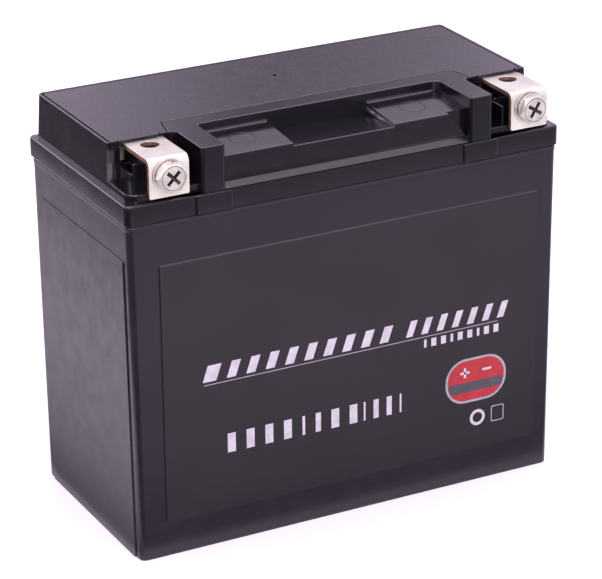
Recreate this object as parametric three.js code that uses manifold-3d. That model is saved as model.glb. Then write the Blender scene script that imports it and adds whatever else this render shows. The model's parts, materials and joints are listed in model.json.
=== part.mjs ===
// A 12 V motorcycle battery: a six-cell lead-acid battery in a moulded case, with two bolt-and-nut
// terminals at the front corners of the top, a hold-down pocket between them and a cap strip whose
// six plugs close the filler ports. Millimetres, +Z up, +X to the right of the label, -Y to the front.
import * as THREE from "three";
import { mergeVertices } from "three/addons/utils/BufferGeometryUtils.js";
import Module from "manifold-3d";

const wasm = await Module();
wasm.setup();

// ---------------------------------------------------------------- driving dimensions
const LENGTH = 176; // over the cover's flange
const DEPTH = 87; // from the pads in front of the pillars to the flange at the back
const HEIGHT = 155; // from the base to the top of the cover
const CELLS = 6;

const WALL = 2.6;
const FLOOR = 3;
const PARTITION = 1.6;
const GAP = 0.3; // between pieces that meet face to face
const CLOSE = 0.1; // between pieces that are clamped or welded together

// Container
const RIM = 130; // its top
const BODY_HALF_TOP = 87.4; // half-length at the rim
const BODY_HALF_BASE = 86.3; // and at the base, from the mould's draft
const BODY_HALF_DEPTH = 42.4;
const BODY_CORNER = 2.5;
const RIM_BAND = 1.9; // height of the thicker band round the rim
const RIM_PROUD = 0.2;
const PANEL_PROUD = 0.5; // raised panel on each end
const PANEL_TOP = 116;
const PANEL_SPAN = [-37.6, 36.3];

// Cover
const COVER_FOOT = RIM + GAP;
const FLANGE_TOP = 138;
const FLANGE_FRONT = -42.7; // the flange's front face beside its pads
const FLANGE_CORNER = 2;
const STRIP_RISE = 1.8; // of the sloping strip between the flange and the middle block
const GROOVE = [140.1, 141.4]; // shallow groove along the middle block above that strip
const GROOVE_DEEP = 0.5;
const PAD_OUTER = 61; // ends of the pad in front of a pillar
const PAD_INNER = 47.3;
const UPPER_HALF = 85.2; // half-length of the upper block at its top
const UPPER_BACK = 39.7;
const UPPER_CORNER = 4; // radius of its front corners
const UPPER_DRAFT = 1.1; // how much further out its foot is
const RECESS_FLOOR = 140.9;
const RECESS_X = 58.8; // where a terminal recess ends and a pillar begins
const RECESS_BACK = -22.3;
const PILLAR_FRONT = -43.4;
const POCKET_X = 49.6; // half-width of the hold-down pocket
const POCKET_BACK = -19.5;
const POCKET_FRONT = -40.6;
const POCKET_CORNER = 3; // radius of its two back corners seen from above
const PLATFORM_BACK = 151.2; // height of the pocket's platforms at their back edge
const PLATFORM_FRONT = 149.5; // and at their front edge
const NOTCH_SPAN = [-21.2, 19.2]; // the finger notch between the platforms
const NOTCH_BACK = 147.2;
const NOTCH_FRONT = 148.7;
// The sloping band between the right platform and its pillar: its inner and outer edges at each end.
const BAND_BACK = { inner: [46.6, 150.7], outer: [49.8, 152.1] };
const BAND_FRONT = { inner: [43.4, 149.2], outer: [49.8, 150.2] };
const DECK = 140.8; // floor of the space under the cap strip
const DECK_THICK = 2.2;
const CHAMBER_WALL = 1.6; // end walls of that space
const CRADLE_TOP = 151.3;
const RIB = 1; // thickness of the ribs beside a cradle

// Cap strip, filler ports and vent
const CAP_THICK = 2;
const CAP_UNDER = HEIGHT - CAP_THICK;
const CAP_MARGIN = 1.0; // width of the cover's rim round the cap strip
const CAP_SEAM = 0.6; // round its ends and back
const CAP_FRONT_SEAM = 0.25; // along its front
const LIP = 0.8; // thickness of the cover's lip in front of it in a terminal recess
const TAB = [-9.9, 5.9]; // the tab that breaks the lip, from the middle of the terminal
const TAB_SEAM = 0.5;
const CAP_FRONT = -11.6; // front edge of the cap strip between the terminal recesses
const CAP_SHOULDER = 61.4;
const PORT_Y = 15.8; // row of the filler ports and the vent
const PORT_BORE = 7.2;
const PORT_TOP = 148;
const PLUG_FOOT = 137.5;
const NIPPLE_RADIUS = 2.4;
const NIPPLE_TOP = 145.3;
const ARRESTOR_RADIUS = 4.6;
const ARRESTOR_FOOT = 150.2;

// Terminals and their screws
const TERMINAL_WIDE = 15.5;
const TERMINAL_TOP = 153.4;
const TERMINAL_FRONT = -42.5;
const TERMINAL_FOOT = 139;
const TERMINAL_THICK = 1.8;
const TERMINAL_BEND = 2.8; // outer radius of its front bend
const TERMINAL_BEND_INSIDE = 1.2;
const TERMINAL_HOLE = 3.3;
const TOP_HOLE_Y = -27;
const TONGUE_BACK = -14.2;
const TONGUE_FOOT = 145;
const THREAD = 3; // half the M6 thread
const FLAT_BACK = TERMINAL_FRONT - CLOSE;
const FLAT_RADIUS = 6;
const FLAT_THICK = 0.6;
const LOCK_BACK = FLAT_BACK - FLAT_THICK - CLOSE;
const LOCK_RADIUS = 5.3;
const LOCK_THICK = 1.1;
const HEAD_BACK = LOCK_BACK - LOCK_THICK - CLOSE;
const HEAD_FLATS = 10;
const HEAD_THICK = 3;
const BOLT_END = HEAD_BACK + 12;
const CROSS_REACH = 3.2; // of the cross recess's arms from the middle of the head
const CROSS_WIDE = 1.2;
const NUT_WIDE = 10;
const NUT_ABOVE = 3.9; // height of the nut above the bolt's axis
const NUT_BELOW = 4.8; // and below it
const NUT_THICK = 5;
const NUT_BACK = TERMINAL_FRONT + TERMINAL_THICK + GAP + NUT_THICK;
const POST_RADIUS = 4.5;
const POST_Y = -9.4;
const POST_TOP = 148;
const SEAL_RADIUS = 7;

// Cells
const WELL_LENGTH = (2 * (BODY_HALF_BASE - WALL) - (CELLS - 1) * PARTITION) / CELLS;
const WELL_HALF_DEPTH = BODY_HALF_DEPTH - WALL;
const CELL_PITCH = WELL_LENGTH + PARTITION;
const PLATES = 9; // in each cell, of both polarities
const NEGATIVE_THICK = 1.4;
const POSITIVE_THICK = 1.7;
const MAT_THICK = 0.8;
const PLATE_PITCH = (NEGATIVE_THICK + POSITIVE_THICK) / 2 + MAT_THICK + 2 * GAP;
const MAT_HALF = 38.6;
const PLATE_HALF = MAT_HALF - MAT_THICK - GAP;
const PLATE_FOOT = 5.5;
const PLATE_TOP = 109;
const STRAP_FOOT = 113.5;
const STRAP_TOP = 118.5;
const STRAP_Y = 12.8;
const STRAP_HALF = 8.2;
const WELD_Z = 123;
const WELD_RADIUS = 3.5;

// Left and right terminals, each a little right of the middle of its recess. The turn is that of the
// bolt's head from having a corner at each side; the ribs are a wall along Y and a plate along X.
const TERMINALS = [
  {
    name: "negative",
    x: -71,
    boltX: -71.6,
    boltZ: 147.4,
    turn: 0,
    wallFront: -33,
    wallTop: 146,
    plateTop: 149.8,
  },
  {
    name: "positive",
    x: 75,
    boltX: 74.4,
    boltZ: 147.5,
    turn: -12,
    wallFront: -40,
    wallTop: 148.3,
    plateTop: 149.5,
  },
];

// The part's origin is under the middle of its overall depth, bolt heads included.
const FRAME_SHIFT = -(HEAD_BACK - HEAD_THICK + DEPTH / 2) / 2;

const range = (count) => [...Array(count).keys()];
const cellX = (cell) => (cell - (CELLS - 1) / 2) * CELL_PITCH;

// ---------------------------------------------------------------- materials
const finish = (color, roughness, metalness = 0) =>
  new THREE.MeshStandardMaterial({ color, roughness, metalness });
const casePlastic = finish(0x2b272e, 0.42);
const coverPlastic = finish(0x29262c, 0.4);
const capPlastic = finish(0x302c34, 0.45);
const labelFilm = finish(0x2e2b2e, 0.55);
const platedMetal = finish(0xd8cfc8, 0.3, 1);
const boltSteel = finish(0xd6d2d0, 0.25, 1);
const lead = finish(0x74777c, 0.55, 0.8);
const leadPaste = finish(0x5a3a30, 0.9);
const spongyLead = finish(0x6a6d70, 0.9);
const glassMat = finish(0xe9e7e0, 0.95);
const rubber = finish(0x1b1b1c, 0.8);
const porousDisc = finish(0xd9d4c8, 0.95);

// ---------------------------------------------------------------- solids
function toSolid(geometry) {
  const bare = geometry.index ? geometry.toNonIndexed() : geometry.clone();
  bare.deleteAttribute("normal");
  bare.deleteAttribute("uv");
  const merged = mergeVertices(bare, 1e-4);
  const vertProperties = new Float32Array(merged.attributes.position.array);
  const triVerts = new Uint32Array(merged.index.array);
  return new wasm.Manifold(new wasm.Mesh({ numProp: 3, vertProperties, triVerts }));
}

function toGeometry(solid) {
  const mesh = solid.getMesh();
  const geometry = new THREE.BufferGeometry();
  geometry.setAttribute("position", new THREE.BufferAttribute(mesh.vertProperties, 3));
  geometry.setIndex(new THREE.BufferAttribute(mesh.triVerts, 1));
  const flat = geometry.toNonIndexed();
  flat.computeVertexNormals();
  return flat;
}

const join = (first, ...others) => others.reduce((whole, part) => whole.add(part), first);
const cut = (first, ...others) => others.reduce((whole, part) => whole.subtract(part), first);

// A box from its low and high ends along each axis.
function block([x0, x1], [y0, y1], [z0, z1]) {
  const box = new THREE.BoxGeometry(x1 - x0, y1 - y0, z1 - z0);
  return toSolid(box.translate((x0 + x1) / 2, (y0 + y1) / 2, (z0 + z1) / 2));
}

// A closed outline through the given corners, each rounded by its own radius.
function outline(corners, segments = 4) {
  const points = [];
  corners.forEach(([x, y, radius = 0], i) => {
    const corner = new THREE.Vector2(x, y);
    if (!radius) {
      points.push(corner);
      return;
    }
    const [xBefore, yBefore] = corners[(i + corners.length - 1) % corners.length];
    const [xAfter, yAfter] = corners[(i + 1) % corners.length];
    const back = new THREE.Vector2(xBefore, yBefore).sub(corner).normalize();
    const ahead = new THREE.Vector2(xAfter, yAfter).sub(corner).normalize();
    const half = Math.acos(THREE.MathUtils.clamp(back.dot(ahead), -1, 1)) / 2;
    const middle = back.clone().add(ahead).normalize();
    const centre = corner.clone().addScaledVector(middle, radius / Math.sin(half));
    const start = corner.clone().addScaledVector(back, radius / Math.tan(half)).sub(centre);
    const end = corner.clone().addScaledVector(ahead, radius / Math.tan(half)).sub(centre);
    const turn = Math.atan2(start.cross(end), start.dot(end));
    for (const step of range(segments + 1)) {
      const spoke = start.clone().rotateAround(new THREE.Vector2(), (turn * step) / segments);
      points.push(spoke.add(centre));
    }
  });
  return new THREE.Shape(points);
}

const rectangle = (halfX, y0, y1, radius) =>
  outline([
    [-halfX, y0, radius],
    [halfX, y0, radius],
    [halfX, y1, radius],
    [-halfX, y1, radius],
  ]);

// An outline in X and Y, raised from z0 to z1.
function raise(shape, z0, z1) {
  const options = { depth: z1 - z0, bevelEnabled: false, curveSegments: 8 };
  return toSolid(new THREE.ExtrudeGeometry(shape, options).translate(0, 0, z0));
}

// An outline in Y and Z, run along X from x0 to x1.
function runX(shape, x0, x1) {
  const options = { depth: x1 - x0, bevelEnabled: false, curveSegments: 8 };
  const geometry = new THREE.ExtrudeGeometry(shape, options);
  const turn = new THREE.Matrix4().makeBasis(
    new THREE.Vector3(0, 1, 0),
    new THREE.Vector3(0, 0, 1),
    new THREE.Vector3(1, 0, 0),
  );
  return toSolid(geometry.applyMatrix4(turn).translate(x0, 0, 0));
}

// An outline in X and Z, run along Y from y0 to y1.
function runY(shape, y0, y1) {
  const options = { depth: y1 - y0, bevelEnabled: false, curveSegments: 8 };
  return toSolid(new THREE.ExtrudeGeometry(shape, options).rotateX(Math.PI / 2).translate(0, y1, 0));
}

// Round bars, upright, along Y and along X.
function upright(radius, x, y, z0, z1, sides = 24) {
  const bar = new THREE.CylinderGeometry(radius, radius, z1 - z0, sides);
  return toSolid(bar.rotateX(Math.PI / 2).translate(x, y, (z0 + z1) / 2));
}

function alongY(radius, x, z, y0, y1, sides = 24) {
  return toSolid(new THREE.CylinderGeometry(radius, radius, y1 - y0, sides).translate(x, (y0 + y1) / 2, z));
}

function alongX(radius, y, z, x0, x1, sides = 16) {
  const bar = new THREE.CylinderGeometry(radius, radius, x1 - x0, sides);
  return toSolid(bar.rotateZ(Math.PI / 2).translate((x0 + x1) / 2, y, z));
}

// Mould draft: an outline raised from z0 to z1 whose end faces, and its back face if asked, move
// outwards by offset(z).
function drafted(shape, z0, z1, offset, withBack = false) {
  const options = { depth: z1 - z0, bevelEnabled: false, curveSegments: 8 };
  const geometry = new THREE.ExtrudeGeometry(shape, options).translate(0, 0, z0);
  const position = geometry.attributes.position;
  for (const i of range(position.count)) {
    const move = offset(position.getZ(i));
    position.setX(i, position.getX(i) + Math.sign(position.getX(i)) * move);
    if (withBack && position.getY(i) > 0) position.setY(i, position.getY(i) + move);
  }
  return toSolid(geometry);
}

// ---------------------------------------------------------------- container
const caseDraft = (z) => ((BODY_HALF_BASE - BODY_HALF_TOP) * (RIM - z)) / RIM;
const weldX = (i) => (cellX(i) + cellX(i + 1)) / 2;
const weldY = (i) => (i % 2 ? -STRAP_Y : STRAP_Y);
const cellSpan = (cell) => [cellX(cell) - WELL_LENGTH / 2, cellX(cell) + WELL_LENGTH / 2];
const wellSpan = [-WELL_HALF_DEPTH, WELL_HALF_DEPTH];
const bodySpan = [-BODY_HALF_DEPTH, BODY_HALF_DEPTH];

function makeContainer() {
  const proud = BODY_HALF_DEPTH + RIM_PROUD;
  const outer = join(
    drafted(rectangle(BODY_HALF_TOP, ...bodySpan, BODY_CORNER), 0, RIM, caseDraft),
    drafted(rectangle(BODY_HALF_TOP + PANEL_PROUD, ...PANEL_SPAN, 0), 0, PANEL_TOP, caseDraft),
    raise(rectangle(BODY_HALF_TOP + RIM_PROUD, -proud, proud, BODY_CORNER + RIM_PROUD), RIM - RIM_BAND, RIM),
  );
  const wells = range(CELLS).map((cell) => block(cellSpan(cell), wellSpan, [FLOOR, RIM + 1]));
  const weldHoles = range(CELLS - 1).map((i) =>
    alongX(WELD_RADIUS + GAP, weldY(i), WELD_Z, weldX(i) - 2, weldX(i) + 2),
  );
  return cut(outer, ...wells, ...weldHoles);
}

// ---------------------------------------------------------------- cover
// The flange's outline, with a pad in front of each pillar.
function flangeOutline() {
  const half = LENGTH / 2;
  const padFront = -DEPTH / 2;
  const step = FLANGE_FRONT - padFront;
  return outline([
    [-half, FLANGE_FRONT, FLANGE_CORNER],
    [-PAD_OUTER - step, FLANGE_FRONT],
    [-PAD_OUTER, padFront],
    [-PAD_INNER, padFront],
    [-PAD_INNER + step, FLANGE_FRONT],
    [PAD_INNER - step, FLANGE_FRONT],
    [PAD_INNER, padFront],
    [PAD_OUTER, padFront],
    [PAD_OUTER + step, FLANGE_FRONT],
    [half, FLANGE_FRONT, FLANGE_CORNER],
    [half, DEPTH / 2, FLANGE_CORNER],
    [-half, DEPTH / 2, FLANGE_CORNER],
  ]);
}

const upperDraft = (z) => (UPPER_DRAFT * (HEIGHT - z)) / (HEIGHT - COVER_FOOT);

function pillar(side) {
  const ends = [side * POCKET_X, side * RECESS_X].sort((a, b) => a - b);
  const shape = outline([
    [ends[0], PILLAR_FRONT, 1.2],
    [ends[1], PILLAR_FRONT, 1.2],
    [ends[1], RECESS_BACK + 1],
    [ends[0], RECESS_BACK + 1],
  ]);
  return raise(shape, FLANGE_TOP - 1, HEIGHT);
}

// A terminal recess, open to the front, the end and the top.
function recessCut(side) {
  const shape = outline([
    [side * RECESS_X, RECESS_BACK, 2.5],
    [side * LENGTH, RECESS_BACK],
    [side * LENGTH, PILLAR_FRONT - 5],
    [side * RECESS_X, PILLAR_FRONT - 5],
  ]);
  return raise(side > 0 ? shape : reversed(shape), RECESS_FLOOR, HEIGHT + 1);
}

const reversed = (shape) => new THREE.Shape(shape.getPoints(1).reverse());

// The hold-down pocket between the pillars. Its platforms slope gently to the front and meet the
// back wall in a fillet; the finger notch between them is deeper; the right front corner is cut away.
function pocketCuts() {
  const high = HEIGHT + 5;
  const open = POCKET_FRONT - 5;
  const above = outline([
    [open, PLATFORM_FRONT],
    [POCKET_FRONT, PLATFORM_FRONT],
    [POCKET_BACK, PLATFORM_BACK, 1.2],
    [POCKET_BACK, high],
    [open, high],
  ]);
  const front = outline([
    [open, FLANGE_TOP],
    [POCKET_FRONT, FLANGE_TOP],
    [POCKET_FRONT, high],
    [open, high],
  ]);
  const notch = outline([
    [open, NOTCH_FRONT],
    [POCKET_BACK, NOTCH_BACK],
    [POCKET_BACK, high],
    [open, high],
  ]);
  const corner = outline([
    [POCKET_X, FLANGE_TOP + STRIP_RISE + 0.1],
    [POCKET_X, high],
    [41.8, high],
    [41.8, PLATFORM_FRONT],
  ]);
  return [
    runX(above, -POCKET_X, POCKET_X),
    runX(front, -POCKET_X, POCKET_X),
    runX(notch, ...NOTCH_SPAN),
    runY(corner, open, POCKET_FRONT + 1.8),
    block([-POCKET_X, POCKET_X], [open, POCKET_FRONT + GROOVE_DEEP], GROOVE),
  ];
}

// A solid between two outlines in X and Z with the same number of corners, at the front and the back.
function loft(front, back, y0, y1) {
  const count = front.length;
  const corners = [...front.map(([x, z]) => [x, y0, z]), ...back.map(([x, z]) => [x, y1, z])];
  const faces = [];
  for (const i of range(count - 2)) {
    faces.push([0, i + 1, i + 2], [count, count + i + 2, count + i + 1]);
  }
  for (const i of range(count)) {
    const next = (i + 1) % count;
    faces.push([i, count + i, next], [next, count + i, count + next]);
  }
  const geometry = new THREE.BufferGeometry();
  geometry.setAttribute("position", new THREE.Float32BufferAttribute(corners.flat(), 3));
  geometry.setIndex(faces.flat());
  return toSolid(geometry);
}

// What stands in the pocket: the strip along its front, the rounding of its back corners and the
// sloping band on the right.
function pocketFurniture() {
  const strip = outline([
    [FLANGE_FRONT, FLANGE_TOP - 0.5],
    [POCKET_FRONT + 0.5, FLANGE_TOP - 0.5],
    [POCKET_FRONT + 0.5, FLANGE_TOP + STRIP_RISE],
    [POCKET_FRONT, FLANGE_TOP + STRIP_RISE],
    [FLANGE_FRONT, FLANGE_TOP],
  ]);
  const section = ({ inner, outer }) => [inner, [outer[0], inner[1] - 1], outer];
  const rounding = (side) => {
    const middle = side * (POCKET_X - POCKET_CORNER);
    const span = [middle, side * (POCKET_X + 0.5)].sort((a, b) => a - b);
    const from = POCKET_BACK - POCKET_CORNER;
    return cut(
      block(span, [from, POCKET_BACK + 0.5], [PLATFORM_FRONT, HEIGHT]),
      upright(POCKET_CORNER, middle, from, PLATFORM_FRONT - 1, HEIGHT + 1, 32),
    );
  };
  return [
    runX(strip, -POCKET_X - 0.5, POCKET_X + 0.5),
    loft(section(BAND_FRONT), section(BAND_BACK), POCKET_FRONT + 2, POCKET_BACK + 0.3),
    rounding(-1),
    rounding(1),
  ];
}

// The cap strip's outline, smaller by the seams; the seat that it lies in is the same with no seams.
function capOutline(seam, frontSeam) {
  const side = UPPER_HALF - CAP_MARGIN - seam;
  const back = UPPER_BACK - CAP_MARGIN - seam;
  const shoulder = CAP_SHOULDER + frontSeam;
  const front = RECESS_BACK + LIP + frontSeam;
  return outline([
    [-side, front],
    [-shoulder, front],
    [-shoulder + 2, CAP_FRONT + frontSeam, 1.5],
    [shoulder - 2, CAP_FRONT + frontSeam, 1.5],
    [shoulder, front],
    [side, front],
    [side, back, 1],
    [-side, back, 1],
  ]);
}

// A tab of the cap strip that breaks the lip over a terminal, wider by a seam at each end.
function tab({ x }, seam, y0, z0) {
  return block([x + TAB[0] - seam, x + TAB[1] + seam], [y0, RECESS_BACK + LIP + 1], [z0, HEIGHT]);
}

// The space under the cap strip, inside the walls that carry it.
function underCapOutline() {
  const side = UPPER_HALF - CHAMBER_WALL;
  const back = UPPER_BACK - WALL;
  const shoulder = CAP_SHOULDER + 1.2;
  return outline([
    [-side, RECESS_BACK + WALL],
    [-shoulder, RECESS_BACK + WALL],
    [-shoulder, CAP_FRONT + 1.6],
    [shoulder, CAP_FRONT + 1.6],
    [shoulder, RECESS_BACK + WALL],
    [side, RECESS_BACK + WALL],
    [side, back],
    [-side, back],
  ]);
}

// The cover's underside over one cell: a shallow chamber, deeper under the pocket.
function cellRoofCuts(cell) {
  const [low, high] = cellSpan(cell);
  const pocketSpan = [Math.max(low, -POCKET_X + WALL), Math.min(high, POCKET_X - WALL)];
  const cuts = [
    block([low, high], wellSpan, [COVER_FOOT - 1, FLANGE_TOP - WALL]),
    block([low, high], [POCKET_FRONT + WALL, UPPER_BACK - WALL], [COVER_FOOT, DECK - DECK_THICK]),
  ];
  if (pocketSpan[1] - pocketSpan[0] > WALL) {
    cuts.push(block(pocketSpan, [POCKET_FRONT + WALL, POCKET_BACK + 2], [COVER_FOOT, NOTCH_BACK - WALL]));
    cuts.push(block(pocketSpan, [POCKET_BACK + 2, CAP_FRONT - 2.4], [COVER_FOOT, HEIGHT - WALL]));
  }
  return cuts;
}

// The plastic seat under a terminal, with a pocket for its nut and room for either screw, and the
// two ribs that shield it.
function cradle({ x, wallFront, wallTop, plateTop }) {
  const front = TERMINAL_FRONT + TERMINAL_THICK + 0.4;
  const foot = RECESS_FLOOR - 1;
  const wallX = x - 9.8;
  const seat = outline([
    [front, foot],
    [RECESS_BACK + 1, foot],
    [RECESS_BACK + 1, CRADLE_TOP],
    [front, CRADLE_TOP, TERMINAL_BEND_INSIDE],
  ]);
  return join(
    runX(seat, x - 6.8, x + 6.8),
    block([wallX - RIB / 2, wallX + RIB / 2], [wallFront, RECESS_BACK + 1], [foot, wallTop]),
    block([wallX, x - 6], [-33 - RIB, -33], [foot, plateTop]),
  );
}

function cradleCuts(terminal) {
  const { x, boltX, boltZ } = terminal;
  const pocketX = [boltX - NUT_WIDE / 2 - GAP, boltX + NUT_WIDE / 2 + GAP];
  const tongue = TERMINAL_WIDE / 2 + GAP;
  const wallSpan = [RECESS_BACK - 1, RECESS_BACK + WALL + 1];
  return [
    block(pocketX, [TERMINAL_FRONT, NUT_BACK + GAP], [boltZ - NUT_BELOW - GAP, HEIGHT]),
    alongY(THREAD + 0.5, boltX, boltZ, NUT_BACK, BOLT_END + 2),
    upright(THREAD + 0.5, x, TOP_HOLE_Y, CRADLE_TOP - 6, HEIGHT),
    block([x - tongue - 1.2, x + tongue], wallSpan, [CRADLE_TOP, TERMINAL_TOP + GAP]),
    block([x - tongue - 1.2, x - 6.8], wallSpan, [CRADLE_TOP - 5, CRADLE_TOP + 1]),
    tab(terminal, TAB_SEAM, RECESS_BACK - 1, CAP_UNDER - GAP),
    upright(POST_RADIUS + GAP, x, POST_Y, COVER_FOOT - 1, HEIGHT),
    upright(SEAL_RADIUS + GAP, x, POST_Y, DECK, HEIGHT),
  ];
}

function makeCover() {
  const upper = outline([
    [-UPPER_HALF, POCKET_FRONT, UPPER_CORNER],
    [UPPER_HALF, POCKET_FRONT, UPPER_CORNER],
    [UPPER_HALF, UPPER_BACK, FLANGE_CORNER],
    [-UPPER_HALF, UPPER_BACK, FLANGE_CORNER],
  ]);
  const cells = range(CELLS);
  const shell = cut(
    join(
      raise(flangeOutline(), COVER_FOOT, FLANGE_TOP),
      drafted(upper, COVER_FOOT, HEIGHT, upperDraft, true),
      pillar(-1),
      pillar(1),
    ),
    recessCut(-1),
    recessCut(1),
    ...pocketCuts(),
    raise(capOutline(0, 0), CAP_UNDER - GAP, HEIGHT + 1),
    raise(underCapOutline(), DECK, HEIGHT),
    ...cells.flatMap(cellRoofCuts),
  );
  const furnished = join(
    shell,
    ...cells.map((cell) => upright(PORT_BORE + 1.8, cellX(cell), PORT_Y, DECK - 1, PORT_TOP)),
    ...TERMINALS.map(({ x }) => upright(SEAL_RADIUS + 1.8, x, POST_Y, DECK - 1, DECK + 3)),
    ...TERMINALS.map(cradle),
    ...pocketFurniture(),
    upright(NIPPLE_RADIUS, 0, PORT_Y, DECK - 1, NIPPLE_TOP),
  );
  return cut(
    furnished,
    ...cells.map((cell) => upright(PORT_BORE, cellX(cell), PORT_Y, COVER_FOOT, HEIGHT)),
    ...TERMINALS.flatMap(cradleCuts),
    upright(1.3, 0, PORT_Y, COVER_FOOT, HEIGHT),
  );
}

// ---------------------------------------------------------------- cap strip and vent
function makeCapStrip() {
  const plugs = range(CELLS).map((cell) =>
    upright(PORT_BORE - GAP, cellX(cell), PORT_Y, PLUG_FOOT, CAP_UNDER + 1),
  );
  const hollows = range(CELLS).map((cell) =>
    upright(PORT_BORE - 2, cellX(cell), PORT_Y, PLUG_FOOT - 1, CAP_UNDER - 2),
  );
  const reliefs = TERMINALS.map(({ x }) => {
    const half = TERMINAL_WIDE / 2 + GAP;
    const span = [RECESS_BACK - 1, TONGUE_BACK + 1];
    return block([x - half, x + half], span, [CAP_UNDER - 1, TERMINAL_TOP + GAP]);
  });
  return cut(
    join(
      raise(capOutline(CAP_SEAM, CAP_FRONT_SEAM), CAP_UNDER, HEIGHT),
      ...TERMINALS.map((terminal) => tab(terminal, 0, RECESS_BACK, CAP_UNDER)),
      ...plugs,
      upright(ARRESTOR_RADIUS + 1.6, 0, PORT_Y, ARRESTOR_FOOT - 0.6, CAP_UNDER + 1),
    ),
    ...hollows,
    upright(ARRESTOR_RADIUS + GAP, 0, PORT_Y, ARRESTOR_FOOT - 2, CAP_UNDER),
    block([-0.6, 0.6], [PORT_Y - 1.5, PORT_Y + 1.5], [CAP_UNDER - 1, HEIGHT + 1]),
    ...reliefs,
  );
}

const makeFlameArrestor = () => upright(ARRESTOR_RADIUS, 0, PORT_Y, ARRESTOR_FOOT, CAP_UNDER - CLOSE);

// A rubber cup upside down over the vent nipple.
function makeSafetyValve() {
  const inner = NIPPLE_RADIUS + GAP;
  const profile = [
    [0, NIPPLE_TOP + GAP],
    [inner, NIPPLE_TOP + GAP],
    [inner, DECK + GAP],
    [inner + 1.4, DECK + GAP],
    [inner + 1.4, NIPPLE_TOP + GAP + 0.8],
    [inner + 0.9, NIPPLE_TOP + GAP + 1.3],
    [0, NIPPLE_TOP + GAP + 1.3],
  ].map(([r, z]) => new THREE.Vector2(r, z));
  return toSolid(new THREE.LatheGeometry(profile, 24).rotateX(Math.PI / 2).translate(0, PORT_Y, 0));
}

// ---------------------------------------------------------------- label
function makeLabel() {
  const back = -BODY_HALF_DEPTH - GAP;
  const shape = outline([
    [-76, 13.5, 1],
    [79.6, 13.5, 1],
    [79.6, 114, 1],
    [-76, 114, 1],
  ]);
  return runY(shape, back - 0.25, back);
}

// ---------------------------------------------------------------- terminals
// A strap bent down at the front, with a tongue under the cap strip bent down to the post.
function makeTerminal({ x, boltX, boltZ }) {
  const under = TERMINAL_TOP - TERMINAL_THICK;
  const legBack = TERMINAL_FRONT + TERMINAL_THICK;
  const tongueFront = TONGUE_BACK - TERMINAL_THICK;
  const side = outline(
    [
      [TERMINAL_FRONT, TERMINAL_FOOT],
      [legBack, TERMINAL_FOOT],
      [legBack, under, TERMINAL_BEND_INSIDE],
      [tongueFront, under],
      [tongueFront, TONGUE_FOOT],
      [TONGUE_BACK, TONGUE_FOOT],
      [TONGUE_BACK, TERMINAL_TOP, 1],
      [TERMINAL_FRONT, TERMINAL_TOP, TERMINAL_BEND],
    ],
    6,
  );
  const half = TERMINAL_WIDE / 2;
  const face = outline([
    [x - half, TERMINAL_FOOT, 0.7],
    [x + half, TERMINAL_FOOT, 0.7],
    [x + half, TERMINAL_TOP + 1],
    [x - half, TERMINAL_TOP + 1],
  ]);
  return cut(
    runX(side, x - half, x + half).intersect(runY(face, TERMINAL_FRONT - 1, TONGUE_BACK + 1)),
    upright(TERMINAL_HOLE, x, TOP_HOLE_Y, under - 1, TERMINAL_TOP + 1),
    alongY(TERMINAL_HOLE, boltX, boltZ, TERMINAL_FRONT - 1, legBack + 1),
  );
}

// A screw with a hexagon head and a cross recess. The head is made upright and turned into place: a
// hexagonal bar within a cone that takes off its front corners.
function makeBolt({ boltX, boltZ, turn }) {
  const corner = HEAD_FLATS / 2 / Math.cos(Math.PI / 6);
  const small = HEAD_FLATS / 2 - 0.1;
  const cone = new THREE.CylinderGeometry(small + 2 * HEAD_THICK, small, HEAD_THICK, 48);
  const hexagon = new THREE.CylinderGeometry(corner, corner, HEAD_THICK, 6).rotateY(Math.PI / 6);
  const recess = [CROSS_WIDE, CROSS_REACH * 2].map((wide, i) =>
    toSolid(
      new THREE.BoxGeometry(wide, 2, [CROSS_REACH * 2, CROSS_WIDE][i])
        .rotateY(Math.PI / 4)
        .translate(0, -HEAD_THICK / 2, 0),
    ),
  );
  const head = cut(toSolid(hexagon).intersect(toSolid(cone)), ...recess);
  return join(
    head.rotate([0, turn, 0]).translate([boltX, HEAD_BACK - HEAD_THICK / 2, boltZ]),
    alongY(THREAD, boltX, boltZ, HEAD_BACK - 0.5, BOLT_END),
  );
}

function washer({ boltX, boltZ }, back, thick, radius) {
  return cut(
    alongY(radius, boltX, boltZ, back - thick, back),
    alongY(THREAD + GAP, boltX, boltZ, back - thick - 1, back + 1),
  );
}

// The split washer is cut through once, beside its top.
function makeLockWasher(terminal) {
  const ring = washer(terminal, LOCK_BACK, LOCK_THICK, LOCK_RADIUS);
  const { boltX, boltZ } = terminal;
  return cut(ring, block([boltX + 1.4, boltX + 2], [LOCK_BACK - 5, LOCK_BACK + 5], [boltZ, boltZ + 8]));
}

const makeFlatWasher = (terminal) => washer(terminal, FLAT_BACK, FLAT_THICK, FLAT_RADIUS);

// A rectangular nut, its front edges rounded to clear the terminal's bend.
function makeNut({ boltX, boltZ }) {
  const front = NUT_BACK - NUT_THICK;
  const side = outline([
    [front, boltZ - NUT_BELOW, 1.2],
    [NUT_BACK, boltZ - NUT_BELOW],
    [NUT_BACK, boltZ + NUT_ABOVE],
    [front, boltZ + NUT_ABOVE, 1.2],
  ]);
  return cut(
    runX(side, boltX - NUT_WIDE / 2, boltX + NUT_WIDE / 2),
    alongY(THREAD + GAP, boltX, boltZ, front - 1, NUT_BACK + 1),
  );
}

const makePost = ({ x }) => upright(POST_RADIUS, x, POST_Y, STRAP_TOP + CLOSE, POST_TOP);

const makePostSeal = ({ x }) =>
  cut(
    upright(SEAL_RADIUS, x, POST_Y, DECK + CLOSE, DECK + 2.8),
    upright(POST_RADIUS + CLOSE, x, POST_Y, DECK - 1, DECK + 4),
  );

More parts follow.
